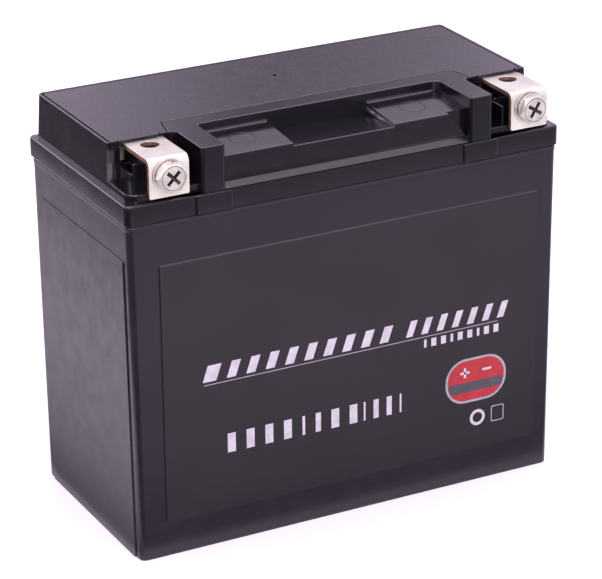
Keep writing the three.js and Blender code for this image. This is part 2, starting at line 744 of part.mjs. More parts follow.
// ---------------------------------------------------------------- cells
// Plates stand side by side along X: negative, positive, negative and so on, nine in all.
const plateX = (cell, i) => cellX(cell) + (i - (PLATES - 1) / 2) * PLATE_PITCH;

// One cell's plates of one polarity, burned to a strap at their end of the cell. The strap carries
// an upstand that is welded through the partition to the next cell.
function makePlates(cell, first, thick, side, upstandSide) {
  const members = range(PLATES).filter((i) => i % 2 === first);
  const strapSpan = [side * STRAP_Y - STRAP_HALF, side * STRAP_Y + STRAP_HALF];
  const lugSpan = [side * STRAP_Y - 5, side * STRAP_Y + 5];
  const plates = members.map((i) => {
    const span = [plateX(cell, i) - thick / 2, plateX(cell, i) + thick / 2];
    return join(
      block(span, [-PLATE_HALF, PLATE_HALF], [PLATE_FOOT, PLATE_TOP]),
      block(span, lugSpan, [PLATE_TOP - 1, STRAP_FOOT + 1]),
    );
  });
  const [low, high] = cellSpan(cell);
  const strap = block([low + 1, high - 1], strapSpan, [STRAP_FOOT, STRAP_TOP]);
  if (!upstandSide) return join(strap, ...plates);
  const face = upstandSide > 0 ? [high - GAP - 2.5, high - GAP] : [low + GAP, low + GAP + 2.5];
  return join(strap, block(face, lugSpan, [STRAP_FOOT, WELD_Z + 5]), ...plates);
}

// The glass mat, folded round one upright edge of each plate in turn.
function makeSeparator(cell) {
  const half = MAT_THICK / 2;
  const sheetX = (i) => (plateX(cell, i) + plateX(cell, i + 1)) / 2;
  const sheets = range(PLATES - 1).map((i) =>
    block([sheetX(i) - half, sheetX(i) + half], [-MAT_HALF, MAT_HALF], [PLATE_FOOT - 1.5, PLATE_TOP + 1.5]),
  );
  const folds = range(PLATES - 2).map((i) => {
    const span = i % 2 ? [-MAT_HALF, -MAT_HALF + MAT_THICK] : [MAT_HALF - MAT_THICK, MAT_HALF];
    return block([sheetX(i) - half, sheetX(i + 1) + half], span, [PLATE_FOOT - 1.5, PLATE_TOP + 1.5]);
  });
  return join(...sheets, ...folds);
}

const makeConnector = (i) => {
  const reach = PARTITION / 2 + GAP - CLOSE;
  return alongX(WELD_RADIUS, weldY(i), WELD_Z, weldX(i) - reach, weldX(i) + reach);
};

// ---------------------------------------------------------------- assembly
const battery = new THREE.Group();
battery.position.y = FRAME_SHIFT;

function add(name, solid, material) {
  const mesh = new THREE.Mesh(toGeometry(solid), material);
  mesh.name = name;
  battery.add(mesh);
}

add("container", makeContainer(), casePlastic);
add("cover", makeCover(), coverPlastic);
add("cap_strip", makeCapStrip(), capPlastic);
add("flame_arrestor", makeFlameArrestor(), porousDisc);
add("safety_valve", makeSafetyValve(), rubber);
add("front_label", makeLabel(), labelFilm);
for (const terminal of TERMINALS) {
  const { name } = terminal;
  add(name + "_terminal", makeTerminal(terminal), platedMetal);
  add(name + "_bolt", makeBolt(terminal), boltSteel);
  add(name + "_lock_washer", makeLockWasher(terminal), boltSteel);
  add(name + "_flat_washer", makeFlatWasher(terminal), boltSteel);
  add(name + "_nut", makeNut(terminal), boltSteel);
  add(name + "_post", makePost(terminal), lead);
  add(name + "_post_seal", makePostSeal(terminal), rubber);
}
for (const cell of range(CELLS)) {
  const negativeSide = cell % 2 ? 1 : -1;
  const upstands = [cell > 0 ? -1 : 0, cell < CELLS - 1 ? 1 : 0];
  const label = cell + 1;
  add("negative_plates_" + label, makePlates(cell, 0, NEGATIVE_THICK, negativeSide, upstands[0]), spongyLead);
  add("positive_plates_" + label, makePlates(cell, 1, POSITIVE_THICK, -negativeSide, upstands[1]), leadPaste);
  add("separator_" + label, makeSeparator(cell), glassMat);
}
for (const i of range(CELLS - 1)) add("intercell_connector_" + (i + 1), makeConnector(i), lead);

const part = new THREE.Group();
part.add(battery);
export default part;
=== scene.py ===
import json
import math
import bmesh
import bpy
from mathutils import Matrix, Vector


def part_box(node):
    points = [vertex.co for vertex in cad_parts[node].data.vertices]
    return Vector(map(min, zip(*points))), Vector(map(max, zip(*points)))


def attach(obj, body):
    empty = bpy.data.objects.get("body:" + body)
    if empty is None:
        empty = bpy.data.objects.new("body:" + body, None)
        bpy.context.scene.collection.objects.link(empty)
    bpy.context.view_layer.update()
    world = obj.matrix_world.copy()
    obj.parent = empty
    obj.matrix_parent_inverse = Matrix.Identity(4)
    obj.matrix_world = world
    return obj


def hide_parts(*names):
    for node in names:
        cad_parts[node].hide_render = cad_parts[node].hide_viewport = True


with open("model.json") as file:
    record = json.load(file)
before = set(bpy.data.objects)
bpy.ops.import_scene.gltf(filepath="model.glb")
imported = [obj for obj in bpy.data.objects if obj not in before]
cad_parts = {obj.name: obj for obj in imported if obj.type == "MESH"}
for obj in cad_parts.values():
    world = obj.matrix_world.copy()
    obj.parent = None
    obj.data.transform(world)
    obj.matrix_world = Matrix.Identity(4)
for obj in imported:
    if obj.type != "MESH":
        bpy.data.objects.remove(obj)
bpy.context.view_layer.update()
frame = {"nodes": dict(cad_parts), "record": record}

MM = 0.001
NODES = frame["nodes"]
POLES = ("negative", "positive")
JOINTS = {joint["name"]: joint for joint in frame["record"]["behaviour"]["joints"]}
SLOTS = {part["node"]: part["material_slot"] for part in frame["record"]["subparts"]}
scene = bpy.context.scene


# ------------------------------------------------------------------ material tools
def shader(name):
    """A new material with its Principled shader, and a function that adds a node with its inputs set."""
    material = bpy.data.materials.new(name)
    material.use_nodes = True
    tree = material.node_tree
    principled = tree.nodes["Principled BSDF"]

    def add(kind, out=0, **inputs):
        node = tree.nodes.new(kind)
        for key, value in inputs.items():
            socket = node.inputs[key] if key in node.inputs else None
            if socket is None:
                setattr(node, key, value)
            elif isinstance(value, bpy.types.NodeSocket):
                tree.links.new(value, socket)
            else:
                socket.default_value = value
        return node.outputs[out]

    return material, principled, add, tree.links.new


def noise(add, scale, detail, stretch=(1, 1, 1)):
    """A noise on the object's own coordinates, stretched if asked."""
    place = add("ShaderNodeTexCoord", out=3)
    if stretch != (1, 1, 1):
        place = add("ShaderNodeMapping", Vector=place, Scale=stretch)
    return add("ShaderNodeTexNoise", Vector=place, Scale=scale, Detail=detail, Roughness=0.55)


def ramp(add, factor, *stops):
    """A colour ramp with its stops given as (place, colour)."""
    out = add("ShaderNodeValToRGB", Fac=factor)
    elements = out.node.color_ramp.elements
    while len(elements) < len(stops):
        elements.new(0.5)
    for element, (at, colour) in zip(elements, stops):
        element.position = at
        element.color = (*colour, 1.0)
    return out


def spread(add, factor, low, high):
    """Spreads the middle part of a noise over the range from low to high."""
    out = add("ShaderNodeMapRange", Value=factor)
    for key, value in {"From Min": 0.3, "From Max": 0.7, "To Min": low, "To Max": high}.items():
        out.node.inputs[key].default_value = value
    return out


def surface(name, dark, light, rough, clouds=28.0, uneven=0.05, grain=1600.0, relief=0.04,
            metallic=0.0, stretch=(1, 1, 1)):
    """A cloudy colour between dark and light, uneven gloss and a fine grain in the bump."""
    material, principled, add, link = shader(name)
    colour = ramp(add, noise(add, clouds, 5.0), (0.35, dark), (0.68, light))
    gloss = spread(add, noise(add, 6 * clouds, 6.0), rough - uneven, rough + uneven)
    bump = add("ShaderNodeBump", Height=noise(add, grain, 3.0, stretch), Strength=relief, Distance=0.0004)
    link(colour, principled.inputs["Base Color"])
    link(gloss, principled.inputs["Roughness"])
    link(bump, principled.inputs["Normal"])
    principled.inputs["Metallic"].default_value = metallic
    return material


MATERIALS = {
    "case_plastic": surface("case_plastic", (0.0098, 0.0082, 0.0124), (0.0132, 0.011, 0.0166), 0.32),
    "cover_plastic": surface("cover_plastic", (0.005, 0.0042, 0.0062), (0.0072, 0.006, 0.009), 0.17,
                             uneven=0.03, relief=0.015),
    "cap_plastic": surface("cap_plastic", (0.0085, 0.0072, 0.0105), (0.0112, 0.0096, 0.0138), 0.27,
                           uneven=0.03, grain=2600.0, relief=0.07),
    "label_film": surface("label_film", (0.0118, 0.0095, 0.0126), (0.015, 0.0122, 0.016), 0.4,
                          relief=0.06),
    "plated_metal": surface("plated_metal", (0.52, 0.52, 0.42), (0.69, 0.69, 0.575), 0.34,
                            clouds=75.0, relief=0.05, metallic=0.22, stretch=(1, 1, 0.15)),
    "bolt_steel": surface("bolt_steel", (0.5, 0.495, 0.42), (0.76, 0.76, 0.66), 0.24,
                          clouds=220.0, metallic=0.5),
    "lead": surface("lead", (0.1, 0.105, 0.115), (0.25, 0.26, 0.28), 0.5,
                    clouds=90.0, relief=0.3, metallic=0.8),
    "lead_paste": surface("lead_paste", (0.045, 0.018, 0.012), (0.12, 0.055, 0.035), 0.85,
                          clouds=120.0, grain=900.0, relief=0.5),
    "spongy_lead": surface("spongy_lead", (0.09, 0.095, 0.1), (0.2, 0.21, 0.22), 0.75,
                           clouds=120.0, grain=900.0, relief=0.5, metallic=0.35),
    "glass_mat": surface("glass_mat", (0.66, 0.64, 0.6), (0.86, 0.85, 0.82), 0.9,
                         clouds=150.0, grain=500.0, relief=0.7, stretch=(1, 1, 0.1)),
    "rubber": surface("rubber", (0.008, 0.008, 0.009), (0.016, 0.016, 0.017), 0.62,
                      clouds=60.0, relief=0.2),
    "porous_disc": surface("porous_disc", (0.42, 0.39, 0.33), (0.78, 0.74, 0.67), 0.9,
                           clouds=700.0, grain=1400.0, relief=0.8),
}
# Brown bare metal: the real copper of the terminals' sheared sides and hole walls, and painted shade on the
# washers' rims.
sheared_edge_and_painted_shade = surface("sheared_edge_and_painted_shade", (0.16, 0.085, 0.05), (0.42, 0.27, 0.19), 0.42,
                       clouds=140.0, relief=0.15, metallic=0.6, stretch=(1, 1, 8))
weld_plastic = surface("weld_plastic", (0.016, 0.014, 0.018), (0.024, 0.021, 0.027), 0.22,
                       clouds=60.0, relief=0.1)
# Dark brown steel that paints the shade inside the screws' cross recesses.
recess_painted_shade = surface("recess_painted_shade", (0.035, 0.026, 0.02), (0.13, 0.1, 0.08), 0.4,
                       clouds=320.0, metallic=0.5)
print_grey = surface("print_grey", (0.4, 0.38, 0.41), (0.5, 0.48, 0.51), 0.5, clouds=300.0)
print_red = surface("print_red", (0.32, 0.012, 0.018), (0.39, 0.02, 0.027), 0.45, clouds=200.0)
print_dark = surface("print_dark", (0.05, 0.047, 0.055), (0.07, 0.066, 0.076), 0.45, clouds=200.0)
print_rim = surface("print_rim", (0.24, 0.235, 0.25), (0.32, 0.31, 0.33), 0.45, clouds=200.0)

for name, node in NODES.items():
    node.data.materials.clear()
    node.data.materials.append(MATERIALS[SLOTS[name]])

# ------------------------------------------------------------------ camera
AZIMUTH, ELEVATION, ROLL = (math.radians(a) for a in (-27.488, 22.570, -0.628))
DISTANCE = 1.110771
CASE_MIDDLE = Vector((0, 0.002, 0.0775))
AIM_RIGHT, AIM_DOWN = 0.001722, 0.002898
SENSOR_WIDTH = 36  # mm
FRAME_WIDTH, FOCAL_LENGTH = 602, 2949.080  # in the same unit
back = Vector((math.sin(AZIMUTH) * math.cos(ELEVATION), -math.cos(AZIMUTH) * math.cos(ELEVATION),
               math.sin(ELEVATION)))
right = Vector((0, 0, 1)).cross(back).normalized()
right, up = (Matrix.Rotation(ROLL, 3, back) @ v for v in (right, back.cross(right)))
aim = CASE_MIDDLE + AIM_RIGHT * right - AIM_DOWN * up
camera_data = bpy.data.cameras.new("camera")
camera_data.sensor_width = SENSOR_WIDTH
camera_data.lens = SENSOR_WIDTH * FOCAL_LENGTH / FRAME_WIDTH
camera_data.clip_start = 0.01
camera = bpy.data.objects.new("camera", camera_data)
turned = Matrix((right, up, back)).transposed().to_4x4()
camera.matrix_world = Matrix.Translation(aim + DISTANCE * back) @ turned
bpy.context.collection.objects.link(camera)
scene.camera = camera

# ------------------------------------------------------------------ floor and light
scene.view_settings.view_transform = "Standard"
world = bpy.data.worlds.new("studio")
world.use_nodes = True
background = world.node_tree.nodes["Background"]
background.inputs["Color"].default_value = (1.3, 1.1, 1.42, 1)
background.inputs["Strength"].default_value = 1.0
scene.world = world


def quad(name, corners, material):
    """A flat staged panel through four corners in metres."""
    mesh = bpy.data.meshes.new(name)
    mesh.from_pydata(corners, [], [(0, 1, 2, 3)])
    mesh.materials.append(material)
    panel = bpy.data.objects.new(name, mesh)
    bpy.context.collection.objects.link(panel)
    return panel


def level(x0, x1, y0, y1, z):
    """The corners of a level rectangle."""
    return [(x0, y0, z), (x1, y0, z), (x1, y1, z), (x0, y1, z)]


def glow(name, colour, *levels, axis=0):
    """A panel material that gives light: its strength at each place from 0 to 1 along an axis."""
    material, principled, add, link = shader(name)
    peak = max(strength for place, strength in levels)
    along = add("ShaderNodeSeparateXYZ", out=axis, Vector=add("ShaderNodeTexCoord", out=0))
    stops = [(place, [part * strength / peak for part in colour]) for place, strength in levels]
    principled.inputs["Base Color"].default_value = (0, 0, 0, 1)
    principled.inputs["Specular IOR Level"].default_value = 0
    link(ramp(add, along, *stops), principled.inputs["Emission Color"])
    principled.inputs["Emission Strength"].default_value = peak
    return material


def reflected_only(name, corners, material):
    """A card or softbox that only shows in reflections."""
    panel = quad(name, corners, material)
    panel.visible_camera = False
    panel.visible_diffuse = False
    panel.visible_shadow = False
    panel.visible_transmission = False


floor_material, principled, _, _ = shader("floor")
principled.inputs["Base Color"].default_value = (0.9, 0.89, 0.9, 1)
principled.inputs["Roughness"].default_value = 0.9
principled.inputs["Specular IOR Level"].default_value = 0.1
principled.inputs["Emission Color"].default_value = (1, 1, 1, 1)
principled.inputs["Emission Strength"].default_value = 0.25
quad("floor", level(-6, 6, -6, 6, 0), floor_material)

# The front of the case and its left end mirror the floor before them. Each has its own panel there,
# which fades towards the foot of the wall, and a dimmer card beyond it. A dark card fills the
# quadrant between the two, which the case's corner mirrors.
PALE = (0.95, 0.83, 1.0)
PALE_TOP = (0.97, 0.86, 1.0)
VIOLET = (0.91, 0.77, 1.0)
FRONT_EDGE = -0.335    # metres, the far edge of the front panel
CASE_FRONT = -0.048    # its near edge, just in front of the bolt heads
LEFT_EDGE = -0.213     # the far edge of the left panel
CORNER_X = -0.089      # its near edge, just outside the case's left end
SIDE_START = -0.047    # where the left panel and the card beyond it begin in y
ON_FLOOR = 0.0004      # the height of the panels and cards
SOFTBOX_HEIGHT = 1.6
BACK_CARD_Y = 1.0
front_glow = glow("front_glow", PALE, (0.0, 1.05), (0.45, 0.95), (0.8, 0.55), (1.0, 0.15), axis=1)
side_glow = glow("side_glow", PALE, (0.0, 1.7), (0.5, 1.6), (0.85, 1.0), (1.0, 0.3))
back_glow = glow("back_glow", VIOLET, (0.0, 1.6), (0.2, 0.98), (0.45, 0.32), (0.75, 0.6), (1.0, 0.75))
dim = glow("dim", PALE, (0.0, 0.15), (1.0, 0.15))
front_dim = glow("front_dim", PALE, (0.0, 0.42), (1.0, 0.42))
corner_dim = glow("corner_dim", PALE, (0.0, 0.06), (1.0, 0.06))
side_white = glow("side_white", PALE, (0.0, 4.5), (1.0, 4.5))
softbox = glow("softbox", PALE_TOP, (0.0, 2.6), (0.45, 2.8), (0.65, 7.0), (1.0, 7.0), axis=1)
reflected_only("front_card", level(CORNER_X, 2, -3, FRONT_EDGE, ON_FLOOR), front_dim)
reflected_only("corner_card", level(-1.5, CORNER_X, -3, CASE_FRONT, ON_FLOOR), corner_dim)
reflected_only("front_panel", level(CORNER_X, 2, FRONT_EDGE, CASE_FRONT, ON_FLOOR), front_glow)
reflected_only("left_card", level(-1.2, LEFT_EDGE, SIDE_START, 1.3, ON_FLOOR), dim)
reflected_only("left_panel", level(LEFT_EDGE, CORNER_X, SIDE_START, 0.5, ON_FLOOR), side_glow)
reflected_only("softbox", level(-0.8, 1.0, -1.0, 0.8, SOFTBOX_HEIGHT), softbox)
reflected_only("side_card", [(-1.1, 1.45, 0.5), (-0.4, 1.75, 0.5), (-0.4, 1.75, 1.1), (-1.1, 1.45, 1.1)],
               side_white)
back_corners = ((0.3, 0.3), (0.7, 0.3), (0.7, 0.72), (0.3, 0.72))
reflected_only("back_card", [(x, BACK_CARD_Y, z) for x, z in back_corners], back_glow)
key = bpy.data.lights.new("key", "AREA")
key.energy = 7
key.shape = "DISK"
key.size = 0.8
key.color = (1.0, 0.96, 1.0)
lamp = bpy.data.objects.new("key", key)
lamp.location = (-0.3, -1.2, 0.7)
lamp.rotation_euler = (Vector((0, 0, 0.1)) - lamp.location).to_track_quat("-Z", "Y").to_euler()
bpy.context.collection.objects.link(lamp)


# ------------------------------------------------------------------ mesh tools
CASE_Y = 2.0   # mm from the part's origin to the case's middle, as the depth counts the bolt heads


def at(x, y, z):
    """A point given in millimetres from the middle of the case's base."""
    return Vector((x, y + CASE_Y, z)) * MM


def round_axis(centre, radius, y, angle):
    """A point at a radius and an angle about the axis along Y through centre, in millimetres."""
    return at(*(centre + Vector((radius * math.cos(angle), y, radius * math.sin(angle)))))


def skin(bm, rings, loop=False):
    """Joins rings of equally many vertices. The last joins the first in a loop, or both ends get caps."""
    for here, there in zip(rings, rings[1:] + rings[:1] if loop else rings[1:]):
        for i in range(len(here)):
            k = (i + 1) % len(here)
            bm.faces.new((here[i], here[k], there[k], there[i]))
    if not loop:
        bm.faces.new(rings[0])
        bm.faces.new(rings[-1])


def rounded(half_x, half_y, radius, steps):
    """Each point of a rectangle with round corners, with the direction that it faces."""
    points = []
    for sx, sy, begin in ((1, 1, 0), (-1, 1, 90), (-1, -1, 180), (1, -1, 270)):
        for i in range(steps + 1):
            angle = math.radians(begin + 90 * i / steps)
            out_x, out_y = math.cos(angle), math.sin(angle)
            points.append((sx * (half_x - radius) + radius * out_x, sy * (half_y - radius) + radius * out_y,
                           out_x, out_y))
    return points


def new_piece(name, bm, body, slot, *materials, smooth=True):
    """A visible piece that rides a body, with the given materials. The slot is not used."""
    bmesh.ops.recalc_face_normals(bm, faces=bm.faces)
    for face in bm.faces:
        face.smooth = smooth
    mesh = bpy.data.meshes.new(name)
    bm.to_mesh(mesh)
    bm.free()
    for material in materials:
        mesh.materials.append(material)
    piece = bpy.data.objects.new(name, mesh)
    bpy.context.collection.objects.link(piece)
    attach(piece, body)
    return piece


def body_of(node):
    """The body that the record puts a node on."""
    groups = frame["record"]["behaviour"]["bodies"]
    return next(body for body, members in groups.items() if node in members)


WIDEST = 0.0012        # metres, the rounding at a bevel weight of 1
SHARP = 30.0           # degrees, the least angle between the faces of an edge that is rounded
SHARE = 0.42           # of a neighbouring edge that a rounding may take
SPECIAL_SHARE = 0.9    # the same for a special edge
ACROSS = 0.7           # the cosine below which a neighbouring edge counts as turning off


def soften(node, width, extra=None, pick=None, special=None):
    """A copy of a CAD node, its outer edges rounded. An edge beside a short edge is rounded by less.

    Faces for which pick(centre, normal) is true take the extra material. An edge for whose middle
    special(point) gives a width is rounded by that instead.
    """
    bm = bmesh.new()
    bm.from_mesh(NODES[node].data)
    bmesh.ops.remove_doubles(bm, verts=bm.verts, dist=2e-6)
    bmesh.ops.dissolve_limit(bm, angle_limit=math.radians(0.6), verts=bm.verts, edges=bm.edges)
    weight = bm.edges.layers.float.new("bevel_weight_edge")
    corners = [e for e in bm.edges if e.is_manifold and math.degrees(e.calc_face_angle()) > SHARP]
    for edge in corners:
        if not edge.is_convex:
            edge.smooth = False
            continue
        middle = (edge.verts[0].co + edge.verts[1].co) / 2
        asked = special(middle) if special else None
        room, share = (width, SHARE) if asked is None else (asked, SPECIAL_SHARE)
        for vert in edge.verts:
            along = (edge.other_vert(vert).co - vert.co).normalized()
            for other in vert.link_edges:
                if other is edge:
                    continue
                way = (other.other_vert(vert).co - vert.co).normalized()
                if abs(way.dot(along)) < ACROSS:
                    room = min(room, share * other.calc_length())
        edge[weight] = room / WIDEST
    if pick:
        for face in bm.faces:
            face.material_index = int(pick(face.calc_center_median(), face.normal))
    materials = [MATERIALS[SLOTS[node]]] + ([extra] if extra else [])
    piece = new_piece(node + "_piece", bm, body_of(node), SLOTS[node], *materials)
    bevel = piece.modifiers.new("edges", "BEVEL")
    bevel.limit_method = "WEIGHT"
    bevel.width = WIDEST
    bevel.segments = 3
    bevel.use_clamp_overlap = False
    shade = piece.modifiers.new("shade", "WEIGHTED_NORMAL")
    shade.keep_sharp = True
    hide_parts(node)


def spin(bm, profile, centre, steps=64, sweep=2 * math.pi, start=0.0, slant=0.0):
    """Turns a closed profile of (radius, y) in millimetres about an axis along Y through centre.

    A sweep short of a full turn gets end faces, slanted along the turn.
    """
    whole = sweep > 2 * math.pi - 1e-6
    rings = []
    for i in range(steps if whole else steps + 1):
        begin = start + i / steps * sweep
        rings.append([bm.verts.new(round_axis(centre, radius, y, begin + slant * (y - profile[0][1])))
                      for radius, y in profile])
    skin(bm, rings, loop=whole)


def chamfered(inner, outer, y0, y1, bite):
    """A washer's section with its four corners taken off."""
    return [(inner + bite, y0), (outer - bite, y0), (outer, y0 + bite), (outer, y1 - bite),
            (outer - bite, y1), (inner + bite, y1), (inner, y1 - bite), (inner, y0 + bite)]


# ------------------------------------------------------------------ case, cover and cap strip
RIM_STEP, FLANGE_TOP, PANEL_TOP = 128.1 * MM, 138.0 * MM, 116.0 * MM
NEAR = 0.0002


def container_edges(point):
    """The thin step under the rim stays sharp, and the tops of the end panels are well rounded."""
    if abs(point.z - RIM_STEP) < NEAR:
        return 0.0
    return 0.00045 if abs(point.z - PANEL_TOP) < NEAR and abs(point.x) > 0.08 else None


def cover_edges(point):
    """The flange's outer top edge is well rounded."""
    outside = abs(point.x) > 0.0865 or not at(0, -42.6, 0).y < point.y < at(0, 43.0, 0).y
    return 0.0009 if outside and abs(point.z - FLANGE_TOP) < NEAR / 2 else None


soften("container", 0.0007, special=container_edges)
soften("cover", 0.00045, special=cover_edges)
soften("cap_strip", 0.0004)

# The bead of melted plastic that shows in the joint between the container and the cover.
BEAD_Z, BEAD_HALF_HEIGHT, BEAD_DEPTH = 130.15, 0.14, 0.42
BEAD_HALF_X, BEAD_HALF_Y, BEAD_CORNER = 87.65, 42.65, 2.7
bm = bmesh.new()
rings = []
for x, y, out_x, out_y in rounded(BEAD_HALF_X, BEAD_HALF_Y, BEAD_CORNER, 6):
    ring = []
    for i in range(8):
        turn = math.radians(45 * i)
        reach = BEAD_DEPTH * (math.cos(turn) - 1)
        height = BEAD_Z + BEAD_HALF_HEIGHT * math.sin(turn)
        ring.append(bm.verts.new(at(x + out_x * reach, y + out_y * reach, height)))
    rings.append(ring)
skin(bm, rings, loop=True)
new_piece("weld_bead", bm, "case", "case_plastic", weld_plastic)

# Ejector marks: a faint ring on each of the pocket's platforms, which slope down to the front.
PLATFORM_FRONT_Y, PLATFORM_FRONT_Z = -40.6, 149.5
PLATFORM_BACK_Y, PLATFORM_BACK_Z = -19.5, 151.2
SLOPE = (PLATFORM_BACK_Z - PLATFORM_FRONT_Z) / (PLATFORM_BACK_Y - PLATFORM_FRONT_Y)
MARK_Y = -29.3
MARK_PROFILE = ((4.6, 0.0), (4.72, 0.07), (4.93, 0.07), (5.05, 0.0), (4.8, -0.1))  # radius, height
for i, x in enumerate((-36.0, 32.9)):
    bm = bmesh.new()
    rings = []
    for step in range(64):
        angle = step * math.pi / 32
        ring = []
        for radius, height in MARK_PROFILE:
            px, py = x + radius * math.cos(angle), MARK_Y + radius * math.sin(angle)
            pz = PLATFORM_FRONT_Z + SLOPE * (py - PLATFORM_FRONT_Y) + height
            ring.append(bm.verts.new(at(px, py, pz)))
        rings.append(ring)
    skin(bm, rings, loop=True)
    new_piece("ejector_mark_%d" % (i + 1), bm, "case", "cover_plastic", MATERIALS["cover_plastic"])


# ------------------------------------------------------------------ terminals and their screws
HEAD_FACE, HEAD_BACK, FLATS = -47.5, -44.5, 10.0
PITCH, THREAD_RADIUS, THREAD_TURNS = 1.0, 3.0, 12
RING_DEPTH = 0.14  # of the shallow ring in the face of the head
RECESS_DEPTH, RECESS_RADIUS = 0.0022, 0.0046  # metres, what the cross recess stays within


def cross_cutter(centre, turn):
    """Two arms that narrow as they go in, as one solid that cuts a screw's cross recess."""
    bm = bmesh.new()
    for arm in (45, 135):
        angle = math.radians(arm + turn)
        along = Vector((math.cos(angle), 0, math.sin(angle)))
        across = Vector((-math.sin(angle), 0, math.cos(angle)))
        rings = []
        for depth, reach, width in ((-0.6, 3.3, 0.72), (0.2, 3.2, 0.62), (1.9, 1.7, 0.32)):
            middle = centre + Vector((0, HEAD_FACE + depth, 0))
            rings.append([bm.verts.new(at(*(middle + along * a * reach + across * b * width)))
                          for a, b in ((-1, -1), (1, -1), (1, 1), (-1, 1))])
        skin(bm, rings)
    bmesh.ops.recalc_face_normals(bm, faces=bm.faces)
    mesh = bpy.data.meshes.new("cutter")
    bm.to_mesh(mesh)
    bm.free()
    cutter = bpy.data.objects.new("cutter", mesh)
    bpy.context.collection.objects.link(cutter)
    return cutter


def bolt_head(centre, turn):
    """A hexagon head whose front corners a cone takes off, with a shallow ring in its face."""
    bm = bmesh.new()
    sectors = 96
    flat = FLATS / 2
    face_edge = flat - 0.25
    rings = [[] for _ in range(9)]
    for i in range(sectors):
        angle = math.radians(turn) + i * 2 * math.pi / sectors
        fold = (math.degrees(angle) - turn) % 60 - 30
        reach = flat / math.cos(math.radians(fold))
        for ring, (radius, y) in zip(rings, (
            (face_edge - 0.46, HEAD_FACE),
            (face_edge - 0.43, HEAD_FACE + RING_DEPTH),
            (face_edge - 0.27, HEAD_FACE + RING_DEPTH),
            (face_edge - 0.24, HEAD_FACE),
            (face_edge, HEAD_FACE + 0.05),
            (reach, HEAD_FACE + 0.05 + 0.62 * (reach - face_edge)),
            (reach, HEAD_BACK - 0.35),
            (reach, HEAD_BACK - 0.2),
            (min(reach, flat + 0.1) - 0.1, HEAD_BACK),
        )):
            ring.append(bm.verts.new(round_axis(centre, radius, y, angle)))
    skin(bm, rings)
    return bm


def threaded_shank(centre):
    """A helical M6 thread from inside the head to its tapered end."""
    bm = bmesh.new()
    sectors, per_turn = 32, 6
    steps = THREAD_TURNS * per_turn
    rings = []
    for step in range(steps + 1):
        ring = []
        y = HEAD_BACK - 0.3 + step * PITCH / per_turn
        end = min(1.0, (steps - step) / 5)
        for i in range(sectors):
            phase = (step / per_turn - i / sectors) % 1.0
            crest = abs(2 * phase - 1)
            radius = (THREAD_RADIUS - 0.62 + 0.6 * min(1.0, 1.25 * crest)) * (0.8 + 0.2 * end)
            ring.append(bm.verts.new(round_axis(centre, radius, y, i * 2 * math.pi / sectors)))
        rings.append(ring)
    skin(bm, rings)
    return bm


def paint_rim_shade(washer):
    """Gives the rim of a washer its second material: a dark brown that is painted shade, where the rim lies
    in the shadow of the head.
    """
    for face in washer.data.polygons:
        face.material_index = int(abs(face.normal.y) < 0.5)


def apply_modifiers(piece):
    """Turns a piece's modifiers into its mesh."""
    evaluated = piece.evaluated_get(bpy.context.evaluated_depsgraph_get())
    mesh = bpy.data.meshes.new_from_object(evaluated)
    piece.modifiers.clear()
    piece.data = mesh


TOP_HOLE_Y, TOP_HOLE_REACH = -27, 0.0036  # mm, and metres from the middle that the wall lies within
for pole, turn in zip(POLES, (0.0, 12.0)):
    place = Vector(JOINTS[pole + "_bolt_turn"]["pos_m"]) / MM
    centre = Vector((place.x, 0, place.z))
    steel = MATERIALS["bolt_steel"]
    screw, washers = pole + "_screw", pole + "_washers"

    head = new_piece(pole + "_bolt_head", bolt_head(centre, turn), screw, "bolt_steel", steel)
    cutter = cross_cutter(centre, turn)
    recess = head.modifiers.new("cross", "BOOLEAN")
    recess.operation = "DIFFERENCE"
    recess.solver = "EXACT"
    recess.use_self = True
    recess.object = cutter
    apply_modifiers(head)
    bpy.data.objects.remove(cutter)
    # The faces of the cross recess get painted shade.
    head.data.materials.append(recess_painted_shade)
    for face in head.data.polygons:
        offset = face.center - at(centre.x, HEAD_FACE, centre.z)
        if 0.00003 < offset.y < RECESS_DEPTH and math.hypot(offset.x, offset.z) < RECESS_RADIUS:
            face.material_index = 1
    rounding = head.modifiers.new("edges", "BEVEL")
    rounding.limit_method = "ANGLE"
    rounding.angle_limit = math.radians(40)
    rounding.width = 0.00012
    rounding.segments = 2
    head.modifiers.new("shade", "WEIGHTED_NORMAL")

    new_piece(pole + "_bolt_thread", threaded_shank(centre), screw, "bolt_steel", steel)
    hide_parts(pole + "_bolt")

    bm = bmesh.new()
    low, high = (v[1] / MM - CASE_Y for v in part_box(pole + "_flat_washer"))
    spin(bm, chamfered(3.3, 6.0, low, high, 0.12), centre)
    piece = new_piece(pole + "_flat_washer_piece", bm, washers, "bolt_steel", steel, sheared_edge_and_painted_shade)
    # The washer's rim gets painted shade.
    paint_rim_shade(piece)
    piece.modifiers.new("shade", "WEIGHTED_NORMAL")
    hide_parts(pole + "_flat_washer")

    bm = bmesh.new()
    low, high = (v[1] / MM - CASE_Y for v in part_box(pole + "_lock_washer"))
    spin(bm, chamfered(3.3, 5.3, low, high, 0.14), centre, steps=72, sweep=math.radians(348),
         start=math.radians(78), slant=0.12)
    piece = new_piece(pole + "_lock_washer_piece", bm, washers, "bolt_steel", steel, sheared_edge_and_painted_shade)
    # The washer's rim gets painted shade.
    paint_rim_shade(piece)
    piece.modifiers.new("shade", "WEIGHTED_NORMAL")
    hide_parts(pole + "_lock_washer")

    middle = sum((v[0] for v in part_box(pole + "_terminal"))) / 2

    def bare_metal(point, normal, middle=middle):
        """The sheared sides of the strap and the wall of the hole in its top."""
        from_hole = math.hypot(point.x - middle, point.y - at(0, TOP_HOLE_Y, 0).y)
        return abs(normal.x) > 0.8 or (from_hole < TOP_HOLE_REACH and abs(normal.z) < 0.5)

    soften(pole + "_terminal", 0.0003, extra=sheared_edge_and_painted_shade, pick=bare_metal)
    soften(pole + "_nut", 0.0003)
    soften(pole + "_post", 0.0003)
    soften(pole + "_post_seal", 0.0003)


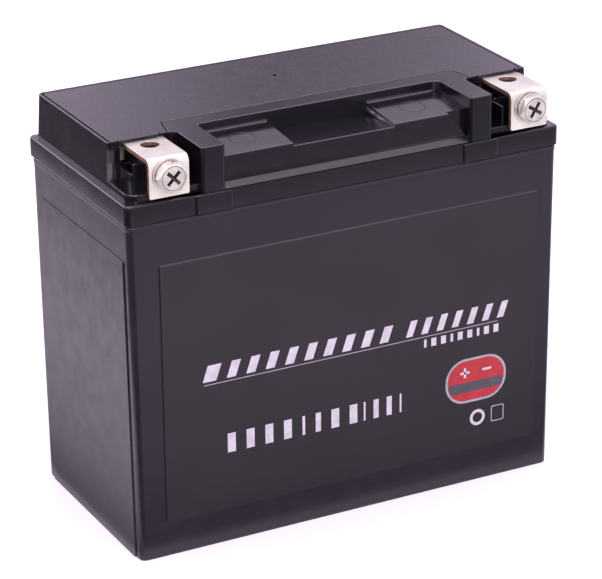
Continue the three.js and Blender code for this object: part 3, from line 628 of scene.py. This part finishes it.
# ------------------------------------------------------------------ what is printed on the label
LABEL_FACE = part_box("front_label")[0][1] / MM - CASE_Y
LABEL_BACK = -42.41
LABEL_X, LABEL_HALF_X, LABEL_FOOT, LABEL_TOP = 1.8, 77.8, 13.5, 114
BADGE_X, BADGE_Z = 53.4, 42.7


def label_shape(inset, top):
    """The label's outline, pulled in by an inset at its sides and foot and by its own at the top."""
    low, high = LABEL_FOOT + inset, LABEL_TOP - top
    return oval(LABEL_X, (low + high) / 2, LABEL_HALF_X - inset, (high - low) / 2, 1.0, 4)


def printed(name, shapes, material, proud=0.03):
    """Thin raised shapes on the label, each given by its outline in X and Z."""
    bm = bmesh.new()
    for shape in shapes:
        skin(bm, [[bm.verts.new(at(x, LABEL_FACE + depth, z)) for x, z in shape] for depth in (0.01, -proud)])
    new_piece(name, bm, "case", "label_film", material, smooth=False)


def bar(x0, x1, z0, z1, lean=0.0):
    """A bar's outline, its top moved sideways by the lean."""
    shift = lean * (z1 - z0)
    return [(x0, z0), (x1, z0), (x1 + shift, z1), (x0 + shift, z1)]


def bars(x0, x1, z0, z1, widths, gap, lean=0.0):
    """Bars of the given relative widths that fill the span, a gap between each two."""
    room = (x1 - x0) - gap * (len(widths) - 1)
    shapes, x = [], x0
    for width in widths:
        wide = room * width / sum(widths)
        shapes.append(bar(x, x + wide, z0, z1, lean))
        x += wide + gap
    return shapes


def oval(x, z, half_x, half_z, radius, steps=10):
    """The outline of a rectangle with round corners about a middle point."""
    return [(x + px, z + pz) for px, pz, _, _ in rounded(half_x, half_z, radius, steps)]


def frame_shapes(outer, inner):
    """A closed band between two outlines with the same number of points, as one shape per step."""
    count = len(outer)
    return [[outer[i], outer[(i + 1) % count], inner[(i + 1) % count], inner[i]] for i in range(count)]


bm = bmesh.new()
skin(bm, [[bm.verts.new(at(x, y, z)) for x, z in label_shape(inset, top)]
          for y, inset, top in ((LABEL_BACK, 0, 0), (LABEL_FACE, 0.1, 0.5))])
film = new_piece("front_label_piece", bm, "case", "label_film", MATERIALS["label_film"], smooth=False)
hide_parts("front_label")

# Plain bars stand where a printed label has its lines of text, and plain shapes where it has symbols.
printed("label_title", bars(-60.5, 15.5, 65.9, 72.2, (3, 2, 2, 2, 2, 2, 2, 2, 2, 2), 4.2, 0.35)
        + bars(23, 65, 65.9, 72.2, (2, 2, 2, 2, 2, 2, 2), 3.7, 0.35), print_grey)
printed("label_rule", [bar(-60, 62.5, 64.5, 64.8)], print_rim)
printed("label_small_bars", bars(30.8, 63, 60.3, 63.5, (1, 2, 2, 1, 2, 2, 1, 2, 2), 2.0), print_grey)
printed("label_large_bars", bars(-51, 2.5, 36.2, 43.8, (3, 3, 3, 3, 1, 2, 3, 3), 4.4)
        + bars(5.2, 21.2, 36.2, 43.8, (1, 3, 3, 1), 3.4), print_grey)
badge = oval(BADGE_X, BADGE_Z, 13.2, 9.1, 8.6)
inner = oval(BADGE_X, BADGE_Z, 12.3, 8.2, 7.7)
printed("badge_rim", frame_shapes(badge, inner), print_rim, 0.05)
printed("badge_face", [inner], print_red, 0.03)
printed("badge_band", [bar(41.6, 65.2, 38.0, 42.0)], print_dark, 0.045)
plus_and_minus = [bar(46.6, 50.6, 45.6, 46.5), bar(48.15, 49.05, 44.05, 48.05), bar(56.2, 60.2, 45.6, 46.5)]
printed("badge_marks", plus_and_minus, print_grey, 0.045)
ring = [oval(54.3, 26.6, radius, radius, radius, 6) for radius in (3.3, 2.1)]
printed("label_ring", frame_shapes(*ring), print_grey)
square = [oval(63.1, 26.6, 2.8, 3.3, 0.6, 2), oval(63.1, 26.6, 2.4, 2.9, 0.5, 2)]
printed("label_square", frame_shapes(*square), print_rim)
